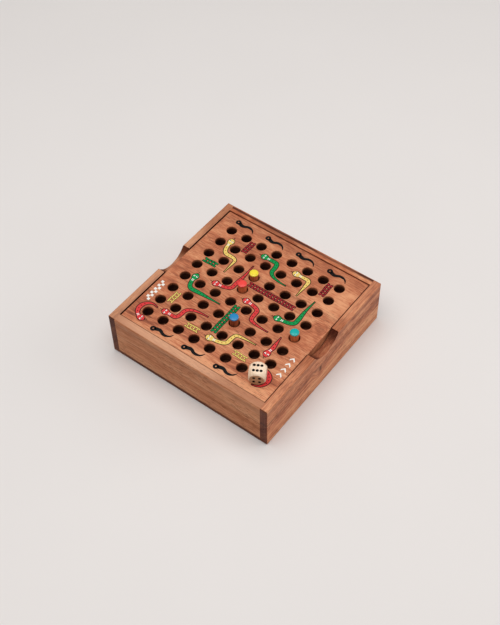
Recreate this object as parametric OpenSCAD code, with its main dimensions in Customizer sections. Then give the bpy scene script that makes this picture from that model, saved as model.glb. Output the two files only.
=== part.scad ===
// Boxed snakes and ladders game: a square wooden box, a drilled playing board that lies inside its
// walls, just below their tops, and lifts out, four pegs and a die.
// The origin is at the middle of the underside. +X runs along the front wall, +Y to the back, +Z up.

/* [Box] */
// Outside width and depth of the square box
box_w = 150; // [136:1:180]
// Outside height of the box
box_h = 42; // [34:0.5:60]
// Thickness of the four walls
wall_t = 6.3; // [4:0.1:9]
// Thickness of the panel glued under the walls
bottom_t = 4; // [3:0.5:8]
// Rounding of the outer edges
box_ease = 1; // [0.3:0.1:2]
// Side of the square blocks that carry the board in the corners
block_w = 11; // [8:0.5:16]
// Bevel on the free corner of a block
block_bevel = 2; // [0.5:0.5:4]

/* [Finger notches] */
// Radius of the drum that cuts a notch
notch_r = 18; // [15:0.5:24]
// Depth of a notch below the wall tops
notch_depth = 9; // [5:0.1:10]

/* [Board] */
// Thickness of the lift-out board
board_t = 12; // [10:0.5:18]
// How far the board's top lies below the wall tops
board_sink = 0.6; // [0:0.1:2]
// Gap between the board and each wall
board_gap = 0.5; // [0.2:0.05:1]
// Rounding of the board's edges
board_ease = 0.6; // [0.2:0.1:1.2]
// Diameter of a peg hole
hole_d = 8.7; // [7.6:0.1:10]
// Distance between the centres of neighbouring holes
hole_pitch = 15; // [13:0.25:17]
// Wood left under a peg hole
hole_floor = 3; // [2:0.5:5]
// Bevel on the rim of a peg hole
rim_ease = 0.3; // [0.1:0.05:0.6]
// Least distance from the board's edge to the centre of a hole
hole_margin = 14; // [12:0.5:15]
// How far the grid of holes lies off the board's centre, to the right
grid_shift_x = -0.7; // [-2:0.1:2]
// How far the grid of holes lies off the board's centre, to the back
grid_shift_y = 1.2; // [-2:0.1:2]

/* [Pegs] */
// Diameter of a peg
peg_d = 6.8; // [5:0.1:7.2]
// Height of a peg above the board
peg_stand = 7; // [4:0.5:12]
// Height of the yellow peg, which was cut shorter
yellow_stand = 5.5; // [4:0.5:12]
// Bevel on the ends of a peg
peg_ease = 0.4; // [0.2:0.1:0.8]

/* [Die] */
// Side of the die, half an inch
die_s = 12.7; // [11:0.1:15]
// How much a ball shape takes off each corner of the die's cube
die_corner_cut = 2.65; // [2.4:0.05:3]
// Turn of the die on the board, in degrees
die_turn = 28.8; // [0:0.1:90]
// How far the die lies off the hole that it covers, to the right
die_shift_x = -0.9; // [-1.5:0.1:1.5]
// How far the die lies off the hole that it covers, to the back
die_shift_y = -0.2; // [-1.5:0.1:1.5]
// Diameter of a pip
pip_d = 1.9; // [1.2:0.1:2.2]
// Depth of a pip
pip_depth = 0.5; // [0.3:0.1:0.7]
// Distance from the middle of a face to its outer pips
pip_row = 2.1; // [1.9:0.05:2.6]
// Distance from the middle of the six to its two rows
six_row = 2.35; // [1.9:0.05:2.6]
// Distance between neighbours in the six's rows of three
six_run = 2.75; // [2.3:0.05:2.9]

/* [Hidden] */
$fn = 64;
// Cutters run this far past the faces that they cut
over = 1;

// Wall insides, the board's top, and the height at which it rests on the corner blocks
inner_w = box_w - 2 * wall_t;
board_top_z = box_h - board_sink;
seat_z = board_top_z - board_t;
board_w = inner_w - 2 * board_gap;

// As many holes as fit each way
holes_along = floor((board_w - 2 * hole_margin) / hole_pitch) + 1;
hole_depth = board_t - hole_floor;
hole_bottom_z = board_top_z - hole_depth;

// The drum's centre stands this far above the wall tops
notch_rise = notch_r - notch_depth;

// A pip is cut by a ball of this radius, and the ball that rounds the die has its own
pip_ball_r = (pow(pip_d / 2, 2) + pow(pip_depth, 2)) / (2 * pip_depth);
die_ball_r = die_s * sqrt(3) / 2 - die_corner_cut;

// Pips of the numbers one to six, from the middle of a face
pip_middle = [[0, 0]];
pip_pair = [[-pip_row, -pip_row], [pip_row, pip_row]];
pip_corners = [for (x = [-pip_row, pip_row], y = [-pip_row, pip_row]) [x, y]];
pip_rows = [for (x = [-six_row, six_row], y = [-six_run, 0, six_run]) [x, y]];
pips_of = [
    pip_middle,
    pip_pair,
    concat(pip_middle, pip_pair),
    pip_corners,
    concat(pip_middle, pip_corners),
    pip_rows
];
// Turns from the top of the die to the faces one to six: opposite faces add up to seven
face_turn = [[180, 0, 0], [90, 0, 0], [0, 90, 0], [0, -90, 0], [-90, 0, 0], [0, 0, 0]];

wall_colour = "#A9714F";
panel_colour = "#8F5C3F";
block_colour = "#9C6848";
board_colour = "#B9794F";
peg_colours = ["#F7D93C", "#F0524E", "#3A8FD0", "#18B0A8"];
die_colour = "#E3C9AC";

// Centre of a hole, by column from the left and row from the front
function hole_at(column, row) = [
    grid_shift_x + (min(column, holes_along - 1) - (holes_along - 1) / 2) * hole_pitch,
    grid_shift_y + (min(row, holes_along - 1) - (holes_along - 1) / 2) * hole_pitch
];

// A rectangle about the origin with round corners
module eased_rectangle(size, ease) {
    square([size[0] - 2 * ease, size[1]], center = true);
    square([size[0], size[1] - 2 * ease], center = true);
    for (x = [-1, 1], y = [-1, 1])
        translate([x * (size[0] / 2 - ease), y * (size[1] / 2 - ease)])
            circle(ease);
}

// A block on the ground, centred in plan, with all its edges rounded
module eased_block(size, ease) {
    translate([0, 0, size[2] / 2])
        intersection() {
            linear_extrude(size[2], center = true)
                eased_rectangle([size[0], size[1]], ease);
            rotate([90, 0, 0])
                linear_extrude(size[1], center = true)
                    eased_rectangle([size[0], size[2]], ease);
            rotate([90, 0, 90])
                linear_extrude(size[0], center = true)
                    eased_rectangle([size[1], size[2]], ease);
        }
}

// The outside of the box, from which walls and bottom are cut
module box_outside() {
    eased_block([box_w, box_w, box_h], box_ease);
}

// A bar with its corner at a place, for cutting a piece out of the outside
module bar(corner, size) {
    translate(corner)
        cube(size);
}

// A full-width wall with its finger notch; side is -1 at the front and 1 at the back
module notched_wall(side) {
    near = side * (box_w - wall_t) / 2;
    difference() {
        intersection() {
            box_outside();
            bar([-box_w / 2, near - wall_t / 2, bottom_t], [box_w, wall_t, box_h - bottom_t]);
        }
        translate([0, near, box_h + notch_rise])
            rotate([90, 0, 0])
                cylinder(r = notch_r, h = wall_t + 2 * over, center = true);
    }
}

// A plain wall that butts between the notched ones; side is -1 on the left and 1 on the right
module plain_wall(side) {
    near = side * (box_w - wall_t) / 2;
    intersection() {
        box_outside();
        bar([near - wall_t / 2, -inner_w / 2, bottom_t], [wall_t, inner_w, box_h - bottom_t]);
    }
}

module front_wall() {
    color(wall_colour) notched_wall(-1);
}

module back_wall() {
    color(wall_colour) notched_wall(1);
}

module left_wall() {
    color(wall_colour) plain_wall(-1);
}

module right_wall() {
    color(wall_colour) plain_wall(1);
}

module bottom_panel() {
    color(panel_colour)
        intersection() {
            box_outside();
            bar([-box_w / 2, -box_w / 2, 0], [box_w, box_w, bottom_t]);
        }
}

// A block glued into one corner, with the corner that faces the hollow bevelled
module corner_block(side_x, side_y) {
    color(block_colour)
        translate([side_x * inner_w / 2, side_y * inner_w / 2, bottom_t])
            mirror([side_x > 0 ? 1 : 0, 0, 0])
                mirror([0, side_y > 0 ? 1 : 0, 0])
                    linear_extrude(seat_z - bottom_t)
                        polygon([
                            [0, 0],
                            [block_w, 0],
                            [block_w, block_w - block_bevel],
                            [block_w - block_bevel, block_w],
                            [0, block_w]
                        ]);
}

// A blind hole with its bevelled rim, open at the board's top
module peg_hole() {
    cylinder(d = hole_d, h = hole_depth + over);
    translate([0, 0, hole_depth - rim_ease])
        cylinder(d1 = hole_d, d2 = hole_d + 2 * (rim_ease + over), h = rim_ease + over);
}

module board() {
    color(board_colour)
        difference() {
            translate([0, 0, seat_z])
                eased_block([board_w, board_w, board_t], board_ease);
            for (column = [0 : holes_along - 1], row = [0 : holes_along - 1])
                translate([for (v = hole_at(column, row)) v, hole_bottom_z])
                    peg_hole();
        }
}

// A dowel with bevelled ends, standing on the floor of its hole
module peg(column, row, stand, colour) {
    r = peg_d / 2;
    length = hole_depth + stand;
    color(colour)
        translate([for (v = hole_at(column, row)) v, hole_bottom_z])
            rotate_extrude()
                polygon([
                    [0, 0],
                    [r - peg_ease, 0],
                    [r, peg_ease],
                    [r, length - peg_ease],
                    [r - peg_ease, length],
                    [0, length]
                ]);
}

module peg_yellow() {
    peg(5, 4, yellow_stand, peg_colours[0]);
}

module peg_red() {
    peg(4, 4, peg_stand, peg_colours[1]);
}

module peg_blue() {
    peg(2, 3, peg_stand, peg_colours[2]);
}

module peg_teal() {
    peg(3, 0, peg_stand, peg_colours[3]);
}

// Balls that cut the pips of one number into its face
module pips(number) {
    rotate(face_turn[number - 1])
        for (place = pips_of[number - 1])
            translate([for (v = place) v, die_s / 2 + pip_ball_r - pip_depth])
                sphere(pip_ball_r);
}

// A cube whose corners and edges are rounded by a ball, with the six up, resting on the corner hole
module die() {
    color(die_colour)
        translate([for (v = hole_at(0, 0)) v, board_top_z + die_s / 2])
            translate([die_shift_x, die_shift_y, 0])
                rotate(die_turn)
                    difference() {
                        intersection() {
                            cube(die_s, center = true);
                            sphere(die_ball_r);
                        }
                        for (number = [1 : 6])
                            pips(number);
                    }
}

front_wall();
back_wall();
left_wall();
right_wall();
bottom_panel();
corner_block(-1, -1);  // corner_block_front_left
corner_block(1, -1);  // corner_block_front_right
corner_block(-1, 1);  // corner_block_back_left
corner_block(1, 1);  // corner_block_back_right
board();
peg_yellow();
peg_red();
peg_blue();
peg_teal();
die();
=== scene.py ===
# %% [markdown]
# # A boxed snakes and ladders game
# The real object is a square hardwood box. A thick drilled board lies inside its walls, four dowel pegs
# with painted tops stand in the board's holes, and a wooden die rests on a corner hole. The solid model
# already has every wooden piece at its real size. This lesson gives each of them its finish, and adds
# what is painted on them: the course of snakes and ladders and the pegs' tops.

# %% Load the solid model
import math

import bmesh
import bpy
from mathutils import Matrix, Vector


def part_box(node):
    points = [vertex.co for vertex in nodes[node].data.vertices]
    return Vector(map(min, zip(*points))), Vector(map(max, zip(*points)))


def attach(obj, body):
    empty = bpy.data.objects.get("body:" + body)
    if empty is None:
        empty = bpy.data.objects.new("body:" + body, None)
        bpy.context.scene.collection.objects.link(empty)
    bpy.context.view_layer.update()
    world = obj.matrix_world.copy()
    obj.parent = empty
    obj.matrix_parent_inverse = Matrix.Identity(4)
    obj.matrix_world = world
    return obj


MM = 0.001
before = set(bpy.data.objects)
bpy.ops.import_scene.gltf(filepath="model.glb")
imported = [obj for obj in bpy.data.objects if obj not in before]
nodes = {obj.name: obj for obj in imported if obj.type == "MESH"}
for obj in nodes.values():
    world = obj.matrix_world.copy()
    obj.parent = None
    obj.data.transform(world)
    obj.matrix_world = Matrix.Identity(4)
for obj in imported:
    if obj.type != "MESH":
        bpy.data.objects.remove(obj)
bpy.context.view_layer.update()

# %% [markdown]
# ## Camera
# The camera stands where the photo was taken from: it looks down at the near corner of the box from
# about 51 degrees. It could be placed by eye, but then the box never lies quite right in the picture, so
# its place was worked out from the corners of the box in the photo. The turn about the upright axis
# comes last, so the matrices are multiplied from right to left: roll, tilt, turn.

# %% Camera
CAMERA_PLACE = (-0.41492, -0.32630, 0.67106)
CAMERA_TURN = 37.88
CAMERA_DOWN = 50.71
CAMERA_ROLL = -1.23
CAMERA_LENS = 61.6
CAMERA_NEAR = 0.01


def turned(degrees, axis):
    """A turn about one axis, as a matrix."""
    return Matrix.Rotation(math.radians(degrees), 4, axis)


bpy.ops.object.camera_add()
camera = bpy.context.object
camera.data.lens = CAMERA_LENS
camera.data.clip_start = CAMERA_NEAR
camera.matrix_world = (
    Matrix.Translation(CAMERA_PLACE)
    @ turned(CAMERA_TURN - 90, "Z")
    @ turned(90 - CAMERA_DOWN, "X")
    @ turned(CAMERA_ROLL, "Z")
)
bpy.context.scene.camera = camera
print("camera looks along", [round(v, 2) for v in camera.matrix_world.to_3x3() @ Vector((0, 0, -1))])

# %% [markdown]
# ## Light
# One small lamp would throw a hard shadow, and the photo has none, so three soft lights share the work.
# A wide panel overhead does most of it, which leaves only a soft rim of shadow round the box's foot. The
# pale surroundings fill in, and a low softbox on the right of the picture makes the front wall brighter
# than the left one. Together they light a level face so that a colour renders about as it is written.
# The view transform is Standard for the same reason.

# %% Light
SURROUND_COLOUR = (1.0, 0.985, 0.97, 1.0)
SURROUND_STRENGTH = 0.22
LAMPS = {
    "overhead_panel": {"place": (-0.12, 0.02, 1.5), "size": 1.9, "watts": 22.6},
    "right_softbox": {"place": (0.88, -1.12, 0.6), "size": 0.9, "watts": 4.8},
}

scene = bpy.context.scene
scene.view_settings.view_transform = "Standard"
world = bpy.data.worlds.new("pale_surroundings")
scene.world = world
world.use_nodes = True
surround = world.node_tree.nodes["Background"]
surround.inputs["Color"].default_value = SURROUND_COLOUR
surround.inputs["Strength"].default_value = SURROUND_STRENGTH

for lamp_name, lamp in LAMPS.items():
    bpy.ops.object.light_add(type="AREA", location=lamp["place"])
    light = bpy.context.object
    light.name = lamp_name
    light.data.shape = "DISK"
    light.data.size = lamp["size"]
    light.data.energy = lamp["watts"]
    light.rotation_euler = (-Vector(lamp["place"])).to_track_quat("-Z", "Y").to_euler()
    print(lamp_name, lamp["watts"], "W")

# %% [markdown]
# ## Writing a finish as a formula
# Every finish here is worked out from the place of a point on the object, with no picture files. Its
# nodes could be wired one by one, but long sums are hard to read that way. So one small class wraps a
# node's output and turns Python's operators into Math nodes. Anything else goes through its one method,
# `node`.


# %% The class that writes shaders
class Shade:
    """A value in a finish. Sums on it add Math nodes."""

    def __init__(self, tree, socket=None):
        self.tree = tree
        self.socket = socket

    def node(self, kind, settings=None, inputs=None, output=0):
        """Adds a node, sets it up, feeds its sockets and hands back one of its outputs."""
        made = self.tree.nodes.new(kind)
        for key, value in (settings or {}).items():
            if key == "stops":
                self.fill_ramp(made.color_ramp, value)
            else:
                setattr(made, key, value)
        for key, value in (inputs or {}).items():
            self.feed(made.inputs[key], value)
        return Shade(self.tree, made.outputs[output])

    def feed(self, socket, value):
        """Links a value to a socket, or sets the socket to a plain number or colour."""
        if isinstance(value, Shade):
            self.tree.links.new(value.socket, socket)
        else:
            socket.default_value = value

    @staticmethod
    def fill_ramp(ramp, stops):
        while len(ramp.elements) < len(stops):
            ramp.elements.new(1.0)
        for element, (position, colour) in zip(ramp.elements, stops):
            element.position = position
            element.color = colour

    def math(self, operation, *values):
        return self.node("ShaderNodeMath", {"operation": operation}, dict(enumerate(values)))

    def __add__(self, other):
        return self.math("ADD", self, other)

    def __sub__(self, other):
        return self.math("SUBTRACT", self, other)

    def __mul__(self, other):
        return self.math("MULTIPLY", self, other)

    def __truediv__(self, other):
        return self.math("DIVIDE", self, other)

    def __rsub__(self, other):
        return self.math("SUBTRACT", other, self)

    def __neg__(self):
        return self.math("MULTIPLY", self, -1.0)

    __radd__ = __add__
    __rmul__ = __mul__

    def root(self):
        return self.math("SQRT", self)

    def size(self):
        return self.math("ABSOLUTE", self)

    def larger(self, other):
        return self.math("MAXIMUM", self, other)

    def smaller(self, other):
        return self.math("MINIMUM", self, other)

    def bell(self):
        """1 at zero, falling off to both sides."""
        return self.math("POWER", math.e, -(self * self))

    def step(self, low, high):
        """0 at low, 1 at high, and smooth between them. low may be the larger one."""
        settings = {"interpolation_type": "SMOOTHSTEP"}
        return self.node("ShaderNodeMapRange", settings, {"Value": self, "From Min": low, "From Max": high})

    def mix(self, first, second, blend="MIX"):
        """Mixes two colours by this value. A Mix node has its colours at inputs 6 and 7 and output 2."""
        settings = {"data_type": "RGBA", "blend_type": blend}
        return self.node("ShaderNodeMix", settings, {0: self, 6: first, 7: second}, output=2)


print("sums on a", Shade.__name__, "add Math nodes")

# %% [markdown]
# Each finish starts the same way: a new material, and the place of a point in millimetres. Object
# coordinates are used, because every piece's object sits at the origin: they give the place on the whole
# game, so the grain runs on from face to face. Colours are written as a screen shows them.


# %% Starting a finish
def screen(red, green, blue):
    """A colour given as it looks on a screen, 0 to 255, in the linear values that shaders take."""
    parts = [v / 255 for v in (red, green, blue)]
    return (*[v / 12.92 if v <= 0.04045 else ((v + 0.055) / 1.055) ** 2.4 for v in parts], 1.0)


def start_finish(name):
    """A new material, its Shade to write with, and its surface node."""
    material = bpy.data.materials.new(name)
    material.use_nodes = True
    return material, Shade(material.node_tree), material.node_tree.nodes["Principled BSDF"]


def dress(shade, surface, colour, roughness, shine, relief=None):
    """Feeds a surface its colour, roughness and shine and, where it has one, its relief."""
    shade.feed(surface.inputs["Base Color"], colour)
    shade.feed(surface.inputs["Roughness"], roughness)
    shade.feed(surface.inputs["Specular IOR Level"], shine)
    if relief:
        shade.feed(surface.inputs["Normal"], shade.node("ShaderNodeBump", None, relief))


def assign(piece, material):
    """Gives a piece one material in place of those that it has."""
    piece.data.materials.clear()
    piece.data.materials.append(material)


print("white on a screen is", screen(255, 255, 255))


# %% Reading a place
def split_turned(shade, vector, turn):
    """The three parts of a vector, seen from axes that are turned by some degrees about Z."""
    x, y, z = (shade.node("ShaderNodeSeparateXYZ", None, {0: vector}, output=i) for i in range(3))
    if turn:
        cosine = math.cos(math.radians(turn))
        sine = math.sin(math.radians(turn))
        x, y = x * cosine + y * sine, y * cosine - x * sine
    return x, y, z


def object_point(shade, turn=0.0):
    """The place of a point on the object, as three values in mm."""
    place = shade.node("ShaderNodeTexCoord", output="Object")
    point = shade.node("ShaderNodeVectorMath", {"operation": "SCALE"}, {"Vector": place, "Scale": 1 / MM})
    return split_turned(shade, point, turn)


def object_normal(shade, turn=0.0):
    """The way that a face points, as three values from -1 to 1."""
    return split_turned(shade, shade.node("ShaderNodeTexCoord", output="Normal"), turn)


def noise_at(shade, spot, detail):
    """Soft noise, about 0.5, at a spot given as three values."""
    vector = shade.node("ShaderNodeCombineXYZ", None, dict(enumerate(spot)))
    return shade.node("ShaderNodeTexNoise", None, {"Vector": vector, "Scale": 1.0, "Detail": detail})


def distance(u, v):
    """How far a place is from zero, by its two parts."""
    return (u * u + v * v).root()


def box_in_mm(node_name):
    """The lowest and the highest corner of a solid piece, in mm."""
    low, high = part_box(node_name)
    return low / MM, high / MM


print("wall tops at", round(box_in_mm("left_wall")[1].z, 1), "mm")

# %% [markdown]
# ## Floor
# A plain pale sheet under the box. It could curve up into a backdrop, but the camera looks down and sees
# no horizon, so one large plane is enough. It only catches the soft shadow, so it gets a matte finish
# with a faint unevenness.

# %% Floor
FLOOR_SIZE = 8.0
FLOOR_COLOURS = (screen(231, 226, 223), screen(228, 223, 220))
FLOOR_PATCH = 120
FLOOR_ROUGHNESS = 0.9
FLOOR_SHINE = 0.2


def deselect_all():
    """Nothing may be selected when a primitive is added, or the solid pieces would be edited too."""
    bpy.ops.object.select_all(action="DESELECT")


floor_finish, shade, surface = start_finish("pale_floor")
cloud = noise_at(shade, [v / FLOOR_PATCH for v in object_point(shade)], detail=2.0)
dress(shade, surface, cloud.mix(*FLOOR_COLOURS), FLOOR_ROUGHNESS, FLOOR_SHINE)

deselect_all()
bpy.ops.mesh.primitive_plane_add(size=FLOOR_SIZE)
floor = bpy.context.object
floor.name = "floor"
assign(floor, floor_finish)
print("floor", FLOOR_SIZE, "m wide")

# %% [markdown]
# ## Oiled hardwood
# The box is made of a reddish brown hardwood with an oil finish. A flat pattern could be wrapped round
# each piece, but its lines would break at every edge. Sawn wood is a cut through a trunk, so the finish
# is worked out like one: rings run round a pith line beside the piece and wander along the grain, and
# the cut faces show them as bands. Noise is alike in all directions, so dividing the place by a long
# length along the grain and a short width across it draws it out into fibres, flecks and pores.

# %% Figures of the grain
GRAIN_AXES = {"X": (0, 1, 2), "Y": (1, 0, 2), "Z": (2, 0, 1)}
# The length and width of each figure in mm, its own salt and the detail of its noise
FIGURES = {
    "wander": (85, 30, 0.0, 2.0),
    "fibres": (11, 0.6, 3.0, 2.0),
    "clouds": (16, 9, 4.0, 2.0),
    "pores": (4.5, 0.42, 6.0, 0.0),
    "pore_patches": (40, 12, 7.0, 2.0),
    "flecks": (5, 1.6, 8.0, 2.0),
}
RING_LENGTH = 260
RING_DETAIL = 3.0


def grain_figure(shade, spot, kind, salt):
    """Noise drawn out along the grain. spot is a place along the grain, across it and up, in mm."""
    along, across, up = spot
    length, width, own_salt, detail = FIGURES[kind]
    return noise_at(shade, (along / length, across / width, up / width + (salt + own_salt)), detail)


def ring_figure(shade, radius, along, width, salt):
    """Noise that changes with the distance from the pith, so that it lies in rings."""
    return noise_at(shade, (radius / width, along / RING_LENGTH, salt), RING_DETAIL)


print("figures of the grain:", ", ".join(FIGURES))

# %% [markdown]
# The figures add up to a tone, and a ramp turns the tone into a colour. Then come the marks that make
# each piece its own: dark streaks along the grain, a knot that pushes the rings aside, and short dark
# pores.

# %% Sawn wood
# The width of each kind of ring in mm, and its own salt; a piece has bands of its own width
BAND_SALT = 1.0
RINGS = {"fine_rings": (1.7, 2.0), "streak_lines": (2.0, 5.0)}
TONE_SHARES = {"bands": 1.5, "fine_rings": 0.9, "clouds": 0.6, "fibres": 0.9, "flecks": 0.5}
TONE_STOPS = (0.12, 0.5, 0.88)
STREAK_COLOUR = screen(84, 45, 33)
STREAK_EDGES = (0.42, 0.6)
STREAK_BASE = 0.55
STREAK_WANDER = 0.25
KNOT_REACH = 7.0
KNOT_PUSH = 9.0
KNOT_FLATTEN = 0.3
PORE_COLOUR = screen(96, 48, 32)
PORE_EDGES = (0.6, 0.72)
PORE_PATCH_EDGES = (0.3, 0.6)
PORE_STRENGTH = 0.55


def sawn_wood(
    shade, point, grain, pith, tones, salt,
    wander=8.0, band=9.0, slope=(0.0, 0.0), streaks=(), knot=None,
):
    """The colour of cut wood, its tone, its fibres and its pores.
    grain is an axis, and pith the place of the pith line beside it, in mm. salt makes a piece unlike the
    others, wander is how far its rings stray and band how wide they are. slope darkens it to the right and
    to the back. streaks holds dark bands as (way, centre, width, strength), with way 1 across the grain
    and 2 upwards. knot holds two axes, its place in them, its width and its strength."""
    spot = [point[axis] for axis in GRAIN_AXES[grain]]
    along, across, up = spot
    figures = {kind: grain_figure(shade, spot, kind, salt) for kind in FIGURES}
    bend = (figures["wander"] - 0.5) * wander
    if knot:
        off_a, off_b = (point[axis] - place for axis, place in zip(knot["axes"], knot["place"]))
        bend = bend + (distance(off_a, off_b) / KNOT_REACH).bell() * KNOT_PUSH
    radius = distance(across - pith[0], up - pith[1]) + bend
    for kind, (width, own_salt) in {"bands": (band, BAND_SALT), **RINGS}.items():
        figures[kind] = ring_figure(shade, radius, along, width, salt + own_salt)

    tone = 0.5 - point[0] * slope[0] - point[1] * slope[1]
    for kind, share in TONE_SHARES.items():
        tone = tone + (figures[kind] - 0.5) * share
    colour = shade.node("ShaderNodeValToRGB", {"stops": list(zip(TONE_STOPS, tones))}, {"Fac": tone})

    lines = figures["streak_lines"].step(*STREAK_EDGES)
    for way, centre, width, strength in streaks:
        spread = (spot[way] + bend * STREAK_WANDER - centre) / width
        streak = spread.bell() * (STREAK_BASE + lines * (1 - STREAK_BASE)) * strength
        colour = streak.mix(colour, STREAK_COLOUR)
    if knot:
        heart = ((off_a * off_a + off_b * off_b * KNOT_FLATTEN).root() / knot["width"]).bell()
        colour = (heart * knot["strength"]).mix(colour, STREAK_COLOUR)
    pores = figures["pores"].step(*PORE_EDGES) * figures["pore_patches"].step(*PORE_PATCH_EDGES)
    colour = (pores * PORE_STRENGTH).mix(colour, PORE_COLOUR)
    return colour, tone, figures["fibres"], pores


print("a tone is made of", ", ".join(TONE_SHARES))

# %% [markdown]
# Oil treats each face in its own way. A face that is cut across the grain soaks it up and turns much
# darker. Faces that point up are made paler. Other dark places differ from piece to piece, painted shade
# in hollows and gaps among them, so a piece brings its own rules for them: a rule takes a point and says
# how dark it is there, from 0 to 1.

# %% Oiled wood
TOP_PALE_COLOUR = screen(218, 174, 146)
TOP_FACE = (0.6, 0.95)
END_GRAIN = {"start": 0.3, "full": 0.8, "strength": 0.93, "tint": (0.19, 0.093, 0.06, 1.0)}
WOOD_SHINE = 0.15
WOOD_ROUGHNESS = 0.47
PORE_ROUGHNESS = 0.2
SHADED_ROUGHNESS = 0.35
TONE_GLOSS = 0.08
FIBRE_RELIEF = 0.4
WOOD_RELIEF = {"Strength": 0.3, "Distance": 0.1 * MM}


def oiled_wood(name, top_paling=0.0, shades=(), ends=END_GRAIN, turn=0.0, **cut):
    """Sawn wood with an oil finish; cut holds what sawn_wood takes.
    The paling share says how much paler its upward faces are, shades holds rules for where it is darker,
    each with its tint, painted shade in hollows and gaps among them, ends says how dark its end grain is,
    and turn is the piece's turn in degrees."""
    material, shade, surface = start_finish(name)
    point = object_point(shade, turn)
    normal = object_normal(shade, turn)
    colour, tone, fibres, pores = sawn_wood(shade, point, **cut)
    if top_paling:
        colour = (normal[2].step(*TOP_FACE) * top_paling).mix(colour, TOP_PALE_COLOUR)
    across_grain = normal[GRAIN_AXES[cut["grain"]][0]].size().step(ends["start"], ends["full"])
    colour = (across_grain * ends["strength"]).mix(colour, ends["tint"], "MULTIPLY")
    roughness = WOOD_ROUGHNESS + pores * PORE_ROUGHNESS - (tone - 0.5) * TONE_GLOSS
    for rule, tint in shades:
        shaded = rule(point)
        colour = shaded.mix(colour, tint, "MULTIPLY")
        roughness = roughness + shaded * SHADED_ROUGHNESS
    relief = {**WOOD_RELIEF, "Height": fibres * FIBRE_RELIEF - pores}
    dress(shade, surface, colour, roughness, WOOD_SHINE, relief)
    return material


print("end grain is tinted by", END_GRAIN["tint"][:3])

# %% [markdown]
# ## Box
# Each wall was sawn from its own piece of wood, so each has its own pith line and its own streaks. The
# two notched walls and the bottom run their grain left to right, the two plain walls front to back. The
# walls' insides are darkened as painted shade, and a darker painted shadow of the gap runs along their
# tops beside the board. The round faces of the notches cut the grain and are darker, partly as painted
# shade in the hollow; some stretches of the tops are darker too. All of this could be painted by hand on
# each wall, but rules keep it where it belongs.

# %% Dark places on the walls
wall_inside = -box_in_mm("left_wall")[1].x
wall_top = box_in_mm("left_wall")[1].z
INNER_FADE = (0.1, 0.02)
GAP_SHADOW_DEPTH = 2.5
GAP_SHADOW_FADE = 1.0
NOTCH_RADIUS = 18.0
NOTCH_DEPTH = 9.0
NOTCH_FADE = (0.3, 0.05)
TOP_FADE = (0.9, 0.3)
notch_axis = wall_top + NOTCH_RADIUS - NOTCH_DEPTH


def inner_face(point):
    """1 on the inner face of a wall, where the inside of the box is darkened as painted shade."""
    outward = point[0].size().larger(point[1].size())
    return outward.step(wall_inside + INNER_FADE[0], wall_inside + INNER_FADE[1])


def gap_shadow(point):
    """1 on the top strip of a wall's inner face beside the board, where a painted shadow of the gap goes.
    """
    shadow_foot = wall_top - GAP_SHADOW_DEPTH
    return inner_face(point) * point[2].step(shadow_foot - GAP_SHADOW_FADE, shadow_foot)


def notch_face(point):
    """1 on the round face of a notch, which is darkened as painted shade in the hollow and for its cut
    grain.
    """
    from_axis = distance(point[0], notch_axis - point[2])
    return from_axis.step(NOTCH_RADIUS + NOTCH_FADE[0], NOTCH_RADIUS + NOTCH_FADE[1])


def top_stretch(way, centre, start, full):
    """A rule for a stretch of a wall's top, by how far it is from a place along the wall."""

    def rule(point):
        on_top = point[2].step(wall_top - TOP_FADE[0], wall_top - TOP_FADE[1])
        return (point[way] - centre).size().step(start, full) * on_top

    return rule


print("walls' insides at", round(wall_inside, 1), "mm, notch axis at", round(notch_axis, 1), "mm")

# %% Tones of the box
WALL_TONES = (screen(144, 75, 49), screen(204, 127, 87), screen(230, 165, 119))
PLAIN_TONES = (screen(152, 86, 50), screen(202, 132, 89), screen(224, 166, 122))
CALM_TONES = (screen(170, 102, 63), screen(198, 129, 87), screen(214, 153, 110))
BOARD_TONES = (screen(122, 57, 35), screen(188, 108, 72), screen(225, 156, 113))
FOOT_TONES = (screen(176, 104, 66), screen(226, 152, 108), screen(240, 184, 140))
FOOT_ENDS = {**END_GRAIN, "tint": (0.15, 0.075, 0.048, 1.0)}
# Painted shade over the walls' inner faces, inside the box
INSIDE_SHADE = (inner_face, (0.7, 0.66, 0.64, 1.0))
# Painted shadow of the gap between the board and the walls, along the top of the inner faces
GAP_SHADOW = (gap_shadow, (0.2, 0.17, 0.165, 1.0))
# Painted shade in the notches' hollows, together with their darker cut grain; deeper in the front one
FRONT_NOTCH_SHADE = (notch_face, (0.56, 0.44, 0.41, 1.0))
BACK_NOTCH_SHADE = (notch_face, (0.92, 0.88, 0.86, 1.0))
HANDLED_TINT = (0.74, 0.64, 0.6, 1.0)
STAINED_TINT = (0.63, 0.58, 0.6, 1.0)
FRONT_HANDLED = (top_stretch(0, 0.0, 34.0, 22.0), HANDLED_TINT)
BACK_HANDLED = (top_stretch(0, -40.0, 60.0, 90.0), HANDLED_TINT)
LEFT_HANDLED = (top_stretch(1, 17.0, 30.0, 60.0), HANDLED_TINT)
RIGHT_STAINED = (top_stretch(1, 20.0, 35.0, 5.0), STAINED_TINT)
print("tones of a wood:", len(WALL_TONES))

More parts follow.
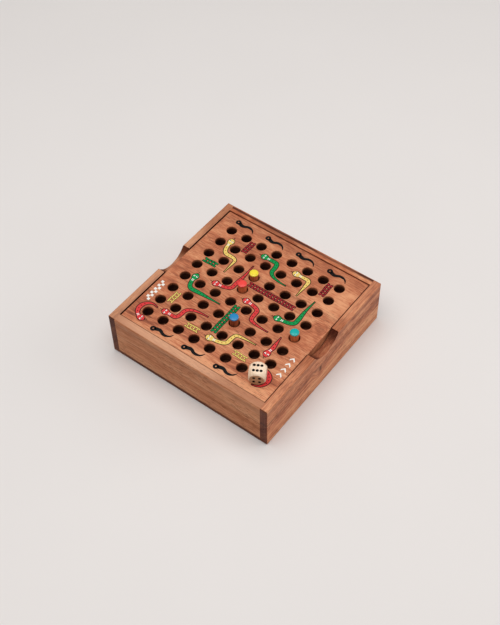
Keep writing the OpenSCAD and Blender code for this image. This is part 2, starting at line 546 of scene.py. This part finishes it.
# %% Box finishes
BOX_WOODS = {
    "front_wall": {
        "grain": "X", "pith": (-130, -40), "tones": WALL_TONES, "salt": 11.0, "top_paling": 0.12,
        "streaks": ((2, 38.5, 2.2, 0.25), (2, 25.0, 1.5, 0.5), (1, -71.3, 0.4, 0.35)),
        "shades": (INSIDE_SHADE, GAP_SHADOW, FRONT_NOTCH_SHADE, FRONT_HANDLED),
        "knot": {"axes": (0, 2), "place": (-7.0, 21.0), "width": 1.9, "strength": 0.95},
    },
    "back_wall": {
        "grain": "X", "pith": (150, 90), "tones": PLAIN_TONES, "salt": 23.0, "top_paling": 0.28,
        "streaks": ((2, 20, 5, 0.3),),
        "shades": (INSIDE_SHADE, GAP_SHADOW, BACK_NOTCH_SHADE, BACK_HANDLED),
    },
    "left_wall": {
        "grain": "Y", "pith": (-120, 110), "tones": CALM_TONES, "salt": 37.0, "top_paling": 0.45,
        "streaks": ((2, 37.0, 2.6, 0.35), (2, 23, 1.6, 0.15)),
        "shades": (INSIDE_SHADE, GAP_SHADOW, LEFT_HANDLED),
    },
    "right_wall": {
        "grain": "Y", "pith": (40, 130), "tones": BOARD_TONES, "salt": 41.0, "wander": 20.0,
        "streaks": ((1, 72.9, 1.1, 1.4),),
        "shades": (INSIDE_SHADE, RIGHT_STAINED),
    },
    "bottom_panel": {
        "grain": "X", "pith": (20, -160), "tones": FOOT_TONES, "salt": 53.0, "band": 12.0,
        "ends": FOOT_ENDS,
    },
}

for node_name, settings in BOX_WOODS.items():
    assign(nodes[node_name], oiled_wood(node_name + "_oiled", **settings))
block_finish = oiled_wood("corner_block_sawn", grain="Z", pith=(90, 90), tones=PLAIN_TONES, salt=67.0)
blocks = [node for node_name, node in nodes.items() if node_name.startswith("corner_block")]
for block in blocks:
    assign(block, block_finish)
print("box pieces finished:", len(BOX_WOODS) + len(blocks))

# %% [markdown]
# ## Board
# The board is one wide plank with its grain from front to back and a small knot by the front notch. Its
# drilled holes get painted shade inside, darker the deeper they are, beyond what the rendered shadow
# gives. A thin dark line along its left, front and back edges, though not at the notches, is a painted
# shadow of the gap beside the walls. The gap's own shadow could give it alone, but the near walls hide
# most of that here.

# %% Dark places on the board
board_low, board_high = box_in_mm("board")
notch_half = math.sqrt(NOTCH_RADIUS**2 - (NOTCH_RADIUS - NOTCH_DEPTH) ** 2)
# Painted shade in the holes, from none at 0.2 mm below the top to full at 3.2 mm down
HOLE_SHADE = (0.2, 3.2)
EDGE_BAND = (2.5, 3.0)
UNDERSIDE = (0.5, 1.0)
# The painted shadow of the gap along the board's top edges: its reach, its depth and its darkness
EDGE_LINE = (0.65, 0.4)
EDGE_DEPTH = (0.9, 0.5)
EDGE_SHADE = {"left": 0.4, "front_back": 0.75}
NOTCH_END_FADE = 0.6


def inside_holes(point):
    """How much painted shade a point gets in the holes: 1 deep in a hole, 0 on the board's top, sides and
    underside.
    """
    x, y, z = point
    depth = (board_high.z - z).step(*HOLE_SHADE)
    from_edge = board_high.x - x.size().larger(y.size())
    return depth * from_edge.step(*EDGE_BAND) * (z - board_low.z).step(*UNDERSIDE)


def board_shade(point):
    """Where the board gets painted shade: deep in its holes, and a painted shadow of the gap along the
    edges of its top.
    """
    x, y, z = point
    left = (board_high.x + x).step(*EDGE_LINE) * EDGE_SHADE["left"]
    beside_wall = x.size().step(notch_half - NOTCH_END_FADE, notch_half)
    front_back = (board_high.y - y.size()).step(*EDGE_LINE) * beside_wall * EDGE_SHADE["front_back"]
    line = left.larger(front_back) * (board_high.z - z).step(*EDGE_DEPTH)
    return inside_holes(point).larger(line)


print("notches reach", round(notch_half, 1), "mm to each side")

# %% Board finish
# Painted shade in the holes and the painted shadow of the gap darken the board by this tint
BOARD_SHADE_TINT = (0.12, 0.09, 0.085, 1.0)
BOARD_WOOD = {
    "grain": "Y", "pith": (35, -95), "tones": BOARD_TONES, "salt": 71.0, "top_paling": 0.06,
    "wander": 20.0, "band": 13.0, "slope": (0.0024, 0.0016),
    "streaks": ((1, 62, 4, 0.25), (1, -38, 3, 0.18), (1, 23, 2.5, 0.2)),
    "shades": ((board_shade, BOARD_SHADE_TINT),),
    "knot": {"axes": (0, 1), "place": (10.5, -62.5), "width": 1.8, "strength": 0.4},
    "ends": {**END_GRAIN, "strength": 0.35},
}

assign(nodes["board"], oiled_wood("board_oiled", **BOARD_WOOD))
print("board", [round(v, 1) for v in board_high - board_low], "mm")

# %% [markdown]
# ## Pegs
# A peg is a cut length of hardwood dowel, with its grain upright, whose top was dipped in gloss paint.
# The wood is the solid model's own piece. Each dowel came from another rod, so some are lighter than
# others.

# %% Peg wood
DOWEL_TONES = (screen(122, 58, 34), screen(170, 92, 57), screen(198, 120, 78))
DOWEL_LIGHTNESS = {"yellow": 1.2, "red": 1.5, "blue": 0.95, "teal": 1.3}
DOWEL_PITH = (9, 12)
DOWEL_SALT = 83.0

for count, (colour_name, lightness) in enumerate(DOWEL_LIGHTNESS.items()):
    low, high = box_in_mm("peg_" + colour_name)
    pith = [middle + off for middle, off in zip((low + high) / 2, DOWEL_PITH)]
    tones = [(*(v * lightness for v in tone[:3]), 1.0) for tone in DOWEL_TONES]
    dowel = oiled_wood(
        f"peg_{colour_name}_dowel",
        grain="Z", pith=pith, tones=tones, salt=DOWEL_SALT + count, wander=3.0, band=5.0,
    )
    assign(nodes["peg_" + colour_name], dowel)
print("pegs:", ", ".join(DOWEL_LIGHTNESS))

# %% [markdown]
# Paint hides the wood's colour but not its fibres, which show as a faint relief and as thin, darker
# places. One finish serves both the pegs' gloss paint and the flat inks of the course.

# %% Paint
PAINT_CLOUD = 2.2
PAINT_FIBRE = (0.3, 6.0, 0.3)
PAINT_WEAR = 0.12
CLOUD_SHARE = 0.6
WEAR_EDGES = (0.3, 0.7)
FIBRE_ROUGHNESS = 0.15
PAINT_RELIEF = {"Strength": 0.15, "Distance": 0.05 * MM}


def paint_finish(name, colour, roughness, shine):
    """Paint that lets the wood's fibres show through as a faint relief."""
    material, shade, surface = start_finish(name)
    point = object_point(shade)
    cloud = noise_at(shade, [v / PAINT_CLOUD for v in point], detail=3.0)
    fibre = noise_at(shade, [v / size for v, size in zip(point, PAINT_FIBRE)], detail=2.0)
    full = (cloud * CLOUD_SHARE + fibre * (1 - CLOUD_SHARE)).step(*WEAR_EDGES)
    thin = (*(v * (1 - PAINT_WEAR) for v in colour[:3]), 1.0)
    rough = roughness + (fibre - 0.5) * FIBRE_ROUGHNESS
    dress(shade, surface, full.mix(thin, colour), rough, shine, {**PAINT_RELIEF, "Height": fibre})
    return material


print("thin paint is darker by", PAINT_WEAR)

# %% [markdown]
# The dip could be a coloured patch in the dowel's finish, but paint has an edge and a swell of its own.
# It is a thin film that rounds over the rim and rises a little in the middle, so each one is a low
# cylinder whose top rim is bevelled, and whose top is then inset and raised a few times. By hand, the
# rim would be picked with the mouse; a script picks vertices by their place.

# %% Peg paint
FILM = 0.12 * MM
DIP = 0.9 * MM
SWELL = 0.18 * MM
FILM_ROUND = 0.35 * MM
ROUND_SEGMENTS = 4
CAP_SIDES = 64
CAP_INSETS = 3
INSET_SHARE = 0.2
SMOOTH_ANGLE = 40


def select_where(test):
    """In edit mode, selects the vertices whose place passes a test."""
    shape = bmesh.from_edit_mesh(bpy.context.object.data)
    for vertex in shape.verts:
        vertex.select_set(test(vertex.co))
    shape.select_flush_mode()
    bmesh.update_edit_mesh(bpy.context.object.data)


def paint_cap(name, low, high):
    """The dipped top of a peg, as one closed shape about its rim."""
    deselect_all()
    radius = (high.x - low.x) / 2 + FILM
    height = DIP + FILM
    top = high.z + FILM
    middle = Vector(((low.x + high.x) / 2, (low.y + high.y) / 2, top - height / 2))
    bpy.ops.mesh.primitive_cylinder_add(vertices=CAP_SIDES, radius=radius, depth=height, location=middle)
    cap = bpy.context.object
    cap.name = name
    bpy.ops.object.transform_apply(location=True, rotation=True, scale=True)
    bpy.ops.object.mode_set(mode="EDIT")
    select_where(lambda place: place.z > top - FILM / 2)
    bpy.ops.mesh.bevel(offset=FILM_ROUND, segments=ROUND_SEGMENTS, affect="EDGES")
    select_where(lambda place: place.z > top - FILM / 2)
    for _ in range(CAP_INSETS):
        bpy.ops.mesh.inset(thickness=radius * INSET_SHARE, depth=SWELL / CAP_INSETS)
    bpy.ops.object.mode_set(mode="OBJECT")
    bpy.ops.object.shade_smooth_by_angle(angle=math.radians(SMOOTH_ANGLE))
    return cap


print("paint reaches", round(DIP / MM, 1), "mm down")

# %% Painted pegs
PEG_COLOURS = {
    "yellow": screen(255, 232, 62),
    "red": screen(250, 74, 68),
    "blue": screen(38, 139, 198),
    "teal": screen(6, 178, 174),
}
GLOSS_ROUGHNESS = 0.24
GLOSS_SHINE = 0.5

for colour_name, colour in PEG_COLOURS.items():
    cap = paint_cap(f"peg_{colour_name}_paint", *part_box("peg_" + colour_name))
    assign(cap, paint_finish(f"peg_{colour_name}_gloss", colour, GLOSS_ROUGHNESS, GLOSS_SHINE))
    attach(cap, "peg_" + colour_name)
    print(cap.name, len(cap.data.polygons), "faces")

# %% [markdown]
# ## Die
# A pale, close-grained wooden cube, rounded by tumbling, so that each face is a flat disc. The two flat
# faces that cut across the grain are painted brown: darker end grain, together with painted shade and a
# painted reflection of the brown board. Its pips are drilled and blackened, and the ink ran a little over
# their rims. The solid model has the drilled hollows. Black discs could be laid in them, but a stain has
# no thickness, so the finish works out how far a point is from the nearest pip of its face. A few
# mirrored distances are enough for all six numbers.

# %% Die wood
DIE_TURN = 28.8
DIE_WOOD = {
    "grain": "X", "pith": (40, 30), "salt": 97.0, "wander": 3.0, "turn": DIE_TURN,
    "tones": (screen(232, 193, 157), screen(245, 214, 183), screen(250, 227, 202)),
    # The flat end-grain faces turn brown: darker end grain, with painted shade and a painted reflection of
    # the board
    "ends": {"start": 0.62, "full": 1.0, "strength": 0.85, "tint": (0.5, 0.33, 0.21, 1.0)},
}

die_wood = oiled_wood("die_pale_wood", **DIE_WOOD)
assign(nodes["die"], die_wood)
die_low, die_high = box_in_mm("die")
die_middle = (die_low + die_high) / 2
die_half = (die_high.z - die_low.z) / 2
print("die", round(2 * die_half, 1), "mm, middle", [round(v, 1) for v in die_middle])

# %% Die pips
PIP_COLOUR = screen(4, 3, 3)
PIP_INK = 1.16
PIP_BLUR = 0.04
PIP_ROW = 2.1
SIX_ROW = 2.35
SIX_RUN = 2.75
FACE_DEPTH = 0.6
FACE_BLUR = 0.05


def from_pair(u, v):
    """The distance to the nearer of two pips on a slant."""
    return distance((u + v).size() - 2 * PIP_ROW, u - v) / math.sqrt(2)


def from_corners(u, v):
    """The distance to the nearest of four pips."""
    return distance(u.size() - PIP_ROW, v.size() - PIP_ROW)


def from_rows(u, v):
    """The distance to the nearest of six pips in two rows."""
    return distance(u.size() - SIX_ROW, v.size().smaller((v.size() - SIX_RUN).size()))


shade = Shade(die_wood.node_tree)
base_colour = die_wood.node_tree.nodes["Principled BSDF"].inputs["Base Color"]
turned_middle = turned(-DIE_TURN, "Z") @ die_middle
x, y, z = (v - m for v, m in zip(object_point(shade, DIE_TURN), turned_middle))
PIPS = (
    (-z, distance(x, y)),
    (-y, from_pair(x, z)),
    (x, distance(y, z).smaller(from_pair(y, -z))),
    (-x, from_corners(y, z)),
    (y, distance(x, z).smaller(from_corners(x, z))),
    (z, from_rows(x, y)),
)
colour = Shade(die_wood.node_tree, base_colour.links[0].from_socket)
for height, from_pip in PIPS:
    on_face = height.step(die_half - FACE_DEPTH, die_half - FACE_DEPTH + FACE_BLUR)
    inked = on_face * from_pip.step(PIP_INK + PIP_BLUR, PIP_INK - PIP_BLUR)
    colour = inked.mix(colour, PIP_COLOUR)
shade.feed(base_colour, colour)
print("faces with pips:", len(PIPS))

# %% [markdown]
# ## The painted course
# Snakes, ladders and turning marks are printed on the board in a few flat inks: black for outlines, and
# red, cream, green and dark red for the figures. They could be worked out in the board's finish, but
# figures are easier to draw as shapes, and real ink has an edge that catches light. So each figure is a
# flat shape a few hundredths of a millimetre thick, lying on the board in the lanes between the holes.
# The places are given in holes: (2.5, 3.5) is midway between four holes.

# %% Places on the board
PITCH = 15.0
HOLES = 8
GRID_MIDDLE = Vector((-0.7, 1.2, board_high.z))
RIM_RADIUS = 4.65


def hole_place(column, row):
    """A place on the board's top in mm, by column from the left and row from the front."""
    middle = (HOLES - 1) / 2
    return GRID_MIDDLE + Vector((column - middle, row - middle, 0.0)) * PITCH


print("first hole at", [round(v, 1) for v in hole_place(0, 0)], "mm")

# %% Inks
INK = 0.04
INK_ROUGHNESS = 0.5
INK_SHINE = 0.15
INK_COLOURS = {
    "black": screen(10, 9, 9),
    "white": screen(246, 243, 236),
    "red": screen(222, 62, 62),
    "cream": screen(240, 208, 112),
    "green": screen(10, 150, 76),
    "dark_red": screen(176, 44, 50),
}

INKS = {}
for ink_name, colour in INK_COLOURS.items():
    INKS[ink_name] = paint_finish("ink_" + ink_name, colour, INK_ROUGHNESS, INK_SHINE)
print("inks:", ", ".join(INKS))

# %% [markdown]
# A figure is easier to draw straight, and in millimetres. A strip is one row of cells along X, and its
# columns are scaled one by one to the half width that they need. It could be filled point by point, but
# a grid already has its cells in order.


# %% Flat shapes
def stretch(x, y):
    """Scales what is selected about the origin."""
    bpy.ops.transform.resize(value=(x, y, 1), center_override=(0, 0, 0))


def flat_strip(start, length, columns, half_width):
    """A strip along X whose columns are scaled to a half width that depends on the place."""
    deselect_all()
    bpy.ops.mesh.primitive_grid_add(x_subdivisions=columns, y_subdivisions=1, size=2)
    strip = bpy.context.object
    bpy.ops.object.mode_set(mode="EDIT")
    for column in range(columns + 1):
        share = column / columns
        select_where(lambda place: abs((place.x + 1) / 2 - share) < 0.5 / columns)
        stretch(1, half_width(start + share * length) * MM)
    bpy.ops.mesh.select_all(action="SELECT")
    stretch(length / 2 * MM, 1)
    bpy.ops.transform.translate(value=((start + length / 2) * MM, 0, 0))
    bpy.ops.object.mode_set(mode="OBJECT")
    return strip


def flat_dot(x, y, radius, sides=16):
    """A filled circle."""
    deselect_all()
    bpy.ops.mesh.primitive_circle_add(
        vertices=sides, radius=radius * MM, fill_type="NGON", location=(x * MM, y * MM, 0)
    )
    dot = bpy.context.object
    bpy.ops.object.transform_apply(location=True, rotation=False, scale=False)
    return dot


print("one unit of a drawing is", MM, "m")

# %% [markdown]
# Layers of ink are told apart by their thickness, counted up from the board, so that none flickers
# through another. What repeats along a figure is one shape with an Array modifier.


# %% Layers of ink
def pick(*pieces):
    """Selects some pieces alone and makes the first one active."""
    deselect_all()
    for piece in pieces:
        piece.select_set(True)
    bpy.context.view_layer.objects.active = pieces[0]


def shift(piece, way):
    """Moves a shape's mesh by some mm, in edit mode."""
    pick(piece)
    bpy.ops.object.mode_set(mode="EDIT")
    bpy.ops.mesh.select_all(action="SELECT")
    bpy.ops.transform.translate(value=[v * MM for v in way])
    bpy.ops.object.mode_set(mode="OBJECT")


def repeat(piece, count, step):
    """Copies a flat shape in a row with a step in mm, by an Array modifier."""
    row = piece.modifiers.new("repeat", "ARRAY")
    row.use_relative_offset = False
    row.use_constant_offset = True
    row.constant_offset_displace = [v * MM for v in step]
    row.count = count
    bpy.ops.object.modifier_apply(modifier=row.name)


def ink_layer(piece, ink, layer):
    """Gives a flat shape its ink and the thickness of its layers, counted up from the board."""
    assign(piece, INKS[ink])
    shift(piece, (0, 0, layer * INK))
    thicken = piece.modifiers.new("film", "SOLIDIFY")
    thicken.thickness = layer * INK * MM
    thicken.offset = -1
    bpy.ops.object.modifier_apply(modifier=thicken.name)
    return piece


print("a layer of ink is", INK, "mm thick")

# %% [markdown]
# The straight figure is then bent along a path with a Curve modifier, as a strip of paper would be laid
# along a drawn line. The figure could be drawn round its bends at once, but then every bend would need
# its own points. A path of the NURBS kind is smooth by itself and begins and ends at its first and last
# place.

# %% Bending along a path
PATH_ORDER = 3
PATH_STEPS = 24


def path_on_board(places):
    """A smooth path through the lanes, with its ends at the first and last place."""
    deselect_all()
    bpy.ops.curve.primitive_nurbs_path_add()
    path = bpy.context.object
    spline = path.data.splines[0]
    spline.points.add(max(0, len(places) - len(spline.points)))
    for point, place in zip(spline.points, places):
        point.co = (*(hole_place(*place) * MM), 1)
    spline.order_u = PATH_ORDER
    spline.use_endpoint_u = True
    spline.resolution_u = PATH_STEPS
    path.data.twist_mode = "Z_UP"
    return path


def path_length(path):
    """The length of a path as it is drawn, in mm."""
    drawn = path.evaluated_get(bpy.context.evaluated_depsgraph_get()).to_mesh()
    places = [vertex.co.copy() for vertex in drawn.vertices]
    return sum((b - a).length for a, b in zip(places, places[1:])) / MM


def hole_clearance(piece):
    """The least distance from a piece to the rim of a hole, in mm."""
    centres = [hole_place(column, row) for column in range(HOLES) for row in range(HOLES)]
    reaches = [(v.co / MM - c).xy.length for v in piece.data.vertices for c in centres]
    return min(reaches) - RIM_RADIUS


def lay_along(name, layers, path):
    """Joins a figure's layers into one piece, bends it along a path and puts the path away."""
    pick(*layers)
    bpy.ops.object.join()
    piece = layers[0]
    piece.name = name
    bend = piece.modifiers.new("lay", "CURVE")
    bend.object = path
    bpy.ops.object.modifier_apply(modifier=bend.name)
    bpy.data.objects.remove(path)
    print(piece.name, "keeps", round(hole_clearance(piece), 2), "mm from the holes")
    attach(piece, "board")


print("steps from place to place:", PATH_STEPS)

# %% [markdown]
# A snake has a tongue, a head, a neck, a body that swells and a tail that thins out. Its skin is one
# strip, and its black outline is the same strip, a little wider, one layer lower. Dots run along the
# back, two white bars make a collar, and the eyes are white dots with black ones on them. A curve with a
# bevel would be quicker, but it is round, and ink is flat.

# %% How a snake is drawn
TONGUE = 2.2
TONGUE_PROFILE = ((0.0, 0.52), (0.6, 0.22), (TONGUE, 0.22))
TONGUE_COLUMNS = 4
HEAD = ((0.0, 0.8), (0.8, 1.8), (2.4, 2.6), (4.4, 2.25), (6.6, 1.2), (8.8, 1.35))
BODY_HALF = 1.5
BODY_SHARE = 0.45
TAIL_HALF = 0.15
COLUMN = 0.7
OUTLINE = 0.62
COLLAR = {"start": 6.0, "width": 0.6, "inset": 0.3, "step": 1.2, "bars": 2}
DOTS = {"start": 10.5, "step": 3.0, "radius": 0.42, "end_share": 0.82}
DOT_INKS = {"red": "black", "green": "black", "cream": "dark_red"}
# Each dot of an eye: its ink and layer, its place along the head and aside, its radius and its sides
EYE_DOTS = (("white", 3, 2.6, 1.25, 0.8, 16), ("black", 4, 2.2, 1.3, 0.42, 12))


def smooth_between(pairs, x):
    """A value that eases from pair to pair."""
    for (x0, y0), (x1, y1) in zip(pairs, pairs[1:]):
        if x <= x1:
            share = max(0.0, (x - x0) / (x1 - x0))
            return y0 + (y1 - y0) * share * share * (3 - 2 * share)
    return pairs[-1][1]


def snake_eyes():
    """Two white dots with black ones on them, as layers of ink."""
    layers = []
    for side in (-1, 1):
        for ink, layer, along, aside, radius, sides in EYE_DOTS:
            dot = flat_dot(TONGUE + along, side * aside, radius, sides)
            layers.append(ink_layer(dot, ink, layer))
    return layers


def snake(name, ink, places, body=BODY_HALF):
    """Draws a snake straight, from its tongue to its tail, and lays it along its places."""
    path = path_on_board(places)
    length = path_length(path) - TONGUE
    profile = HEAD + ((length * BODY_SHARE, body), (length, TAIL_HALF))
    columns = int(length / COLUMN)

    def half(x):
        return smooth_between(profile, x - TONGUE)

    outline = flat_strip(TONGUE - OUTLINE, length + 2 * OUTLINE, columns, lambda x: half(x) + OUTLINE)
    skin = flat_strip(TONGUE, length, columns, half)
    tongue = flat_strip(0.0, TONGUE, TONGUE_COLUMNS, lambda x: smooth_between(TONGUE_PROFILE, x))
    collar = flat_strip(TONGUE + COLLAR["start"], COLLAR["width"], 1, lambda x: half(x) - COLLAR["inset"])
    repeat(collar, COLLAR["bars"], (COLLAR["step"], 0, 0))
    dots = flat_dot(TONGUE + DOTS["start"], 0, DOTS["radius"])
    dot_count = int((length * DOTS["end_share"] - DOTS["start"]) / DOTS["step"])
    repeat(dots, dot_count, (DOTS["step"], 0, 0))
    layers = [
        ink_layer(dots, DOT_INKS[ink], 3),
        ink_layer(collar, "white", 3),
        ink_layer(outline, "black", 1),
        ink_layer(skin, ink, 2),
        ink_layer(tongue, "black", 1),
        *snake_eyes(),
    ]
    lay_along(name, layers, path)
    return length


print("a snake's head is", 2 * max(half for _, half in HEAD), "mm wide")

# %% Snakes
SNAKES = {
    "snake_red_long": ("red", ((0.5, 6.6), (0.5, 5.9), (0.5, 5.5), (1.5, 5.5), (1.5, 4.3))),
    "snake_green_back": ("green", ((3.6, 6.5), (2.44, 6.56), (2.5, 5.6), (2.5, 5.0), (2.52, 4.35))),
    "snake_cream_back": ("cream", ((6.65, 6.5), (5.42, 6.58), (5.5, 5.5), (5.0, 5.5), (4.4, 5.5))),
    "snake_red_middle": ("red", ((3.5, 5.7), (3.5, 4.5), (4.2, 4.5), (4.8, 4.45), (5.6, 4.5))),
    "snake_green_right": ("green", ((6.5, 4.75), (6.5, 3.9), (6.5, 3.5), (5.5, 3.5), (5.5, 2.35))),
    "snake_cream_left": ("cream", ((0.5, 3.75), (0.5, 2.5), (1.2, 2.5), (1.5, 2.4), (1.5, 1.3))),
    "snake_red_front": ("red", ((3.5, 3.7), (3.5, 2.5), (2.9, 2.5), (2.5, 2.4), (2.5, 1.3))),
    "snake_green_front": ("green", ((3.5, 1.75), (3.5, 0.5), (4.2, 0.5), (4.7, 0.55), (5.5, 0.5))),
    "snake_cream_right": ("cream", ((6.5, 2.7), (6.5, 1.9), (6.5, 1.5), (6.0, 1.5), (5.3, 1.5))),
    "snake_red_small": ("red", ((1.05, 0.5), (1.5, 0.54), (1.8, 0.46), (2.1, 0.5), (2.6, 0.54))),
}

for snake_name, (ink, places) in SNAKES.items():
    print(snake_name, round(snake(snake_name, ink, places), 1), "mm long")

# %% [markdown]
# A coiled snake lies round the first and the last hole of the course. It is the same snake, a little
# fatter, laid along places on a circle.

# %% Coiled snakes
COIL_REACH = 8.0 / PITCH
COIL_HALF = 1.75
COIL_TURN = 240
COIL_PARTS = 14
COILS = {"coil_start": ((0, 0), 60), "coil_finish": ((0, 7), 215)}

for coil_name, ((column, row), first_turn) in COILS.items():
    places = []
    for part in range(COIL_PARTS + 1):
        turn = math.radians(first_turn - COIL_TURN * part / COIL_PARTS)
        places.append((column + COIL_REACH * math.cos(turn), row + COIL_REACH * math.sin(turn)))
    print(coil_name, round(snake(coil_name, "red", places, COIL_HALF), 1), "mm long")

# %% [markdown]
# A ladder is two rails and a row of rungs, and the dark ones have dashes on their rails too. It could be
# cut out of one sheet, but bars laid over each other look the same. Like a snake, it is drawn straight,
# with a black edge one layer lower, and then laid along its path.

# %% How a ladder is drawn
RAIL_OFF = 1.65
RAIL_HALF = 0.5
RAIL_COLUMNS = 40
RUNG_HALF = 0.4
RUNG_STEP = 2.8
RUNG_MARGIN = 0.6
LADDER_EDGE = {"green": 0.5, "dark_red": 0.5, "cream": 0.3}
DASHED = ("green", "dark_red")
DASH_HALF = 0.35


def ladder(name, ink, places):
    """Draws a ladder straight, lays it along its places and says how many rungs it has."""
    path = path_on_board(places)
    length = path_length(path)
    rungs = int((length - 2 * RUNG_MARGIN) / RUNG_STEP) + 1
    first = (length - (rungs - 1) * RUNG_STEP) / 2
    step = (RUNG_STEP, 0, 0)
    layers = []
    for layer, colour, edge in ((1, "black", LADDER_EDGE[ink]), (2, ink, 0.0)):
        half = RUNG_HALF + edge
        bar = flat_strip(first - half, 2 * half, 1, lambda x: RAIL_OFF)
        repeat(bar, rungs, step)
        layers.append(ink_layer(bar, colour, layer))
        for side in (-1, 1):
            rail = flat_strip(-edge, length + 2 * edge, RAIL_COLUMNS, lambda x: RAIL_HALF + edge)
            shift(rail, (0, side * RAIL_OFF, 0))
            layers.append(ink_layer(rail, colour, layer))
    if ink in DASHED:
        for side in (-1, 1):
            start = first + RUNG_STEP / 2 - DASH_HALF
            dash = flat_strip(start, 2 * DASH_HALF, 1, lambda x: RAIL_HALF)
            shift(dash, (0, side * RAIL_OFF, 0))
            repeat(dash, rungs - 1, step)
            layers.append(ink_layer(dash, "black", 3))
    lay_along(name, layers, path)
    return rungs


print("a ladder is", 2 * (RAIL_OFF + RAIL_HALF), "mm wide")

# %% Ladders
LADDERS = {
    "ladder_green_long": ("green", ((0.9, 3.49), (1.4, 3.51), (1.9, 3.5), (2.4, 3.49), (2.95, 3.51))),
    "ladder_red_long": ("dark_red", ((4.5, 3.95), (4.49, 3.3), (4.5, 2.5), (4.51, 1.8), (4.5, 1.1))),
    "ladder_cream_left": ("cream", ((0.5, 4.1), (0.52, 4.3), (0.5, 4.5), (0.48, 4.7), (0.5, 4.9))),
    "ladder_red_right": ("dark_red", ((6.1, 5.5), (6.3, 5.52), (6.5, 5.5), (6.7, 5.48), (6.95, 5.5))),
    "ladder_cream_front": ("cream", ((0.5, 1.1), (0.48, 1.3), (0.5, 1.5), (0.52, 1.7), (0.5, 1.9))),
    "ladder_green_back": ("green", ((4.5, 6.1), (4.52, 6.3), (4.5, 6.5), (4.48, 6.7), (4.5, 6.9))),
    "ladder_cream_back": ("cream", ((1.1, 6.5), (1.3, 6.52), (1.5, 6.5), (1.7, 6.48), (1.9, 6.5))),
    "ladder_red_front": ("dark_red", ((6.05, 0.5), (6.3, 0.48), (6.5, 0.5), (6.7, 0.52), (6.95, 0.5))),
}

for ladder_name, (ink, places) in LADDERS.items():
    print(ladder_name, ladder(ladder_name, ink, places), "rungs")

# %% [markdown]
# The course runs to and fro. Where it turns into the next row, a black mark with a ring at its head
# swings from one hole to the next. Its stroke is a strip that thins out, laid along a path as before.
# The ring could be a disc with a hole cut in it, but a circle of edges, extruded and scaled inwards, has
# only the faces that it needs.

# %% How a turning mark is drawn
MARK_HEAD = 2.4
MARK_EYE = 0.55
MARK_START = 0.9
MARK_PROFILE = ((MARK_START, 1.8), (4.0, 1.6), (8.0, 1.3), (12.0, 1.15), (16.0, 0.65), (20.0, 0.15))
MARK_SWING = (
    (0.08, 1.06), (0.0, 0.86), (-0.04, 0.66), (0.1, 0.44), (0.08, 0.2), (-0.02, 0.02), (-0.2, -0.06),
)
MARK_COLUMNS = 40
RING_SIDES = 32


def flat_ring(outer, inner):
    """A flat ring about zero, with its faces upwards."""
    deselect_all()
    bpy.ops.mesh.primitive_circle_add(vertices=RING_SIDES, radius=outer * MM, fill_type="NOTHING")
    ring = bpy.context.object
    bpy.ops.object.mode_set(mode="EDIT")
    bpy.ops.mesh.select_all(action="SELECT")
    bpy.ops.mesh.extrude_edges_move()
    stretch(inner / outer, inner / outer)
    bpy.ops.mesh.select_all(action="SELECT")
    bpy.ops.mesh.normals_make_consistent(inside=False)
    shape = bmesh.from_edit_mesh(ring.data)
    if next(iter(shape.faces)).normal.z < 0:
        bpy.ops.mesh.flip_normals()
    bpy.ops.object.mode_set(mode="OBJECT")
    return ring


def turning_mark(name, column, row, way):
    """A mark beside two rows; way is 1 where its tail swings to the left and -1 to the right."""
    path = path_on_board([(column + way * off, row + rise) for off, rise in MARK_SWING])
    length = path_length(path)
    stroke = flat_strip(
        MARK_START, length - MARK_START, MARK_COLUMNS, lambda x: smooth_between(MARK_PROFILE, x)
    )
    ring = flat_ring(MARK_HEAD, MARK_EYE)
    layers = [ink_layer(stroke, "black", 1), ink_layer(ring, "black", 1)]
    lay_along(name, layers, path)
    return length


print("a mark's head is", 2 * MARK_HEAD, "mm wide")

# %% Turning marks
MARK_SIDES = (("right", 7.62, 1), ("left", -0.62, -1))

for row in range(HOLES - 1):
    side_name, column, way = MARK_SIDES[row % 2]
    mark_name = f"turning_mark_{side_name}_{row + 1}"
    print(mark_name, round(turning_mark(mark_name, column, row, way), 1), "mm long")

# %% [markdown]
# Two white signs show where to begin and where to end: a row of chevrons by the first hole, and a
# chequered strip by the last one. A chevron could be two slanted bars, but one bar of two cells whose
# middle is pulled forwards has no seam. The chequers are one square, repeated twice on a slant and then
# along the strip.

# %% Start and end signs
START_PLACE = (-43.5, -62.4, board_high.z)
FINISH_PLACE = (-43.5, 61.4, board_high.z)
CHEVRONS = 4
CHEVRON_STEP = 5.6
CHEVRON_HALF = 2.1
STROKE_HALF = 0.75
CHEVRON_TIP = 2.2
CHEQUER = 2.2
CHEQUER_PAIRS = 5


def lay_sign(piece, name, place):
    """Gives a flat sign its white ink and moves it to its place on the board."""
    piece.name = name
    ink_layer(piece, "white", 1)
    shift(piece, place)
    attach(piece, "board")


deselect_all()
bpy.ops.mesh.primitive_grid_add(x_subdivisions=1, y_subdivisions=2, size=2)
chevrons = bpy.context.object
bpy.ops.object.mode_set(mode="EDIT")
bpy.ops.mesh.select_all(action="SELECT")
stretch(STROKE_HALF * MM, CHEVRON_HALF * MM)
select_where(lambda place: abs(place.y) < CHEVRON_HALF * MM / 2)
bpy.ops.transform.translate(value=(CHEVRON_TIP * MM, 0, 0))
bpy.ops.object.mode_set(mode="OBJECT")
repeat(chevrons, CHEVRONS, (CHEVRON_STEP, 0, 0))
lay_sign(chevrons, "start_chevrons", START_PLACE)

deselect_all()
bpy.ops.mesh.primitive_plane_add(size=CHEQUER * MM)
chequers = bpy.context.object
repeat(chequers, 2, (CHEQUER, CHEQUER, 0))
repeat(chequers, CHEQUER_PAIRS, (2 * CHEQUER, 0, 0))
lay_sign(chequers, "finish_chequers", FINISH_PLACE)
print("signs:", chevrons.name, chequers.name)
